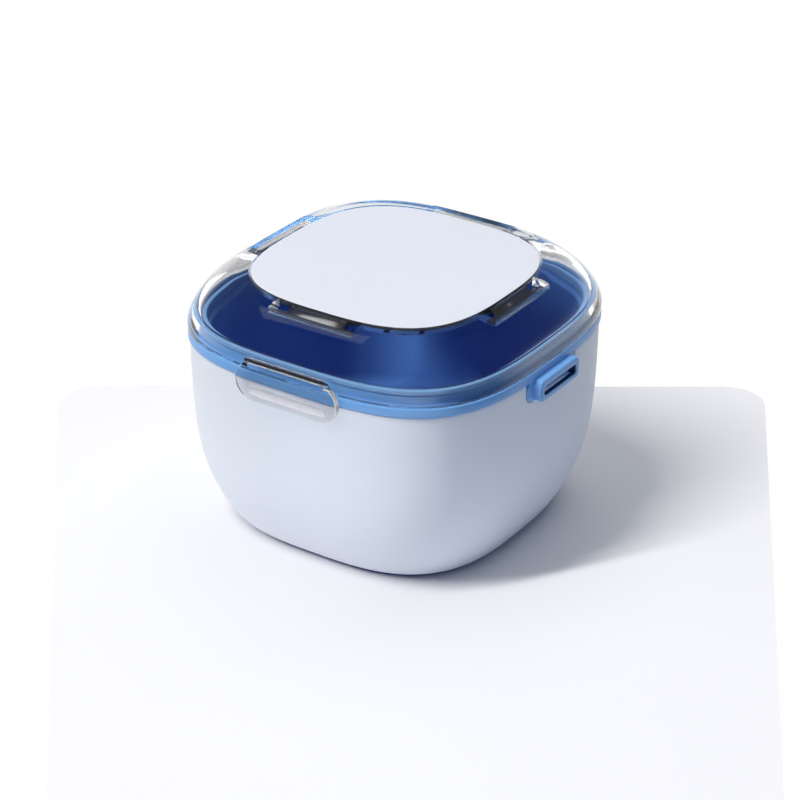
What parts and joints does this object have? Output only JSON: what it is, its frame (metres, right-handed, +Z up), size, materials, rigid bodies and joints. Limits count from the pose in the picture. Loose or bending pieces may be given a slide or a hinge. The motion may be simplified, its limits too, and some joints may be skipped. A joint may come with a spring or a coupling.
{
  "type": "denture case",
  "caption": "Rounded-square denture soaking case with a bowl in an outer cup, a lift-out strainer basket, and a clear domed lid with two hinged side latches.",
  "frame": {"origin": "centre of the base, on the surface it stands on", "axes": "+Z up; X runs from strap lug to strap lug; Y runs from the front latch (-Y) to the rear latch (+Y)"},
  "size_m": [0.0998, 0.0986, 0.069],
  "materials": {
    "cup": "smooth moulded, satin",
    "bowl": "smooth moulded, glossy",
    "basket": "smooth moulded, glossy",
    "foot": "soft matt",
    "clear": "clear moulded plastic, glossy",
    "seal": "soft matt",
    "plate": "satin",
    "pin": "ground"
  },
  "bodies": {
    "base": {"outer_cup": "cup", "soak_bowl": "bowl", "foot_ring": "foot"},
    "basket": {"strainer_basket": "basket"},
    "cover": {"lid": "clear", "lid_seal": "seal", "top_plate": "plate", "plate_clips": "clear", "front_hinge_pin": "pin", "rear_hinge_pin": "pin"},
    "front_flap": {"front_latch": "clear"},
    "rear_flap": {"rear_latch": "clear"}
  },
  "joints": [
    {"name": "basket_lift", "type": "slide", "parent": "base", "child": "basket", "axis": [0, 0, 1], "range_m": [0, 0.055]},
    {"name": "lid_lift", "type": "slide", "parent": "basket", "child": "cover", "axis": [0, 0, 1], "range_m": [0, 0.05]},
    {"name": "front_latch_swing", "type": "hinge", "parent": "cover", "child": "front_flap", "pos_m": [0, -0.0484, 0.0583], "axis": [-1, 0, 0], "range_deg": [0, 110]},
    {"name": "rear_latch_swing", "type": "hinge", "parent": "cover", "child": "rear_flap", "pos_m": [0, 0.0484, 0.0583], "axis": [1, 0, 0], "range_deg": [0, 110]}
  ]
}
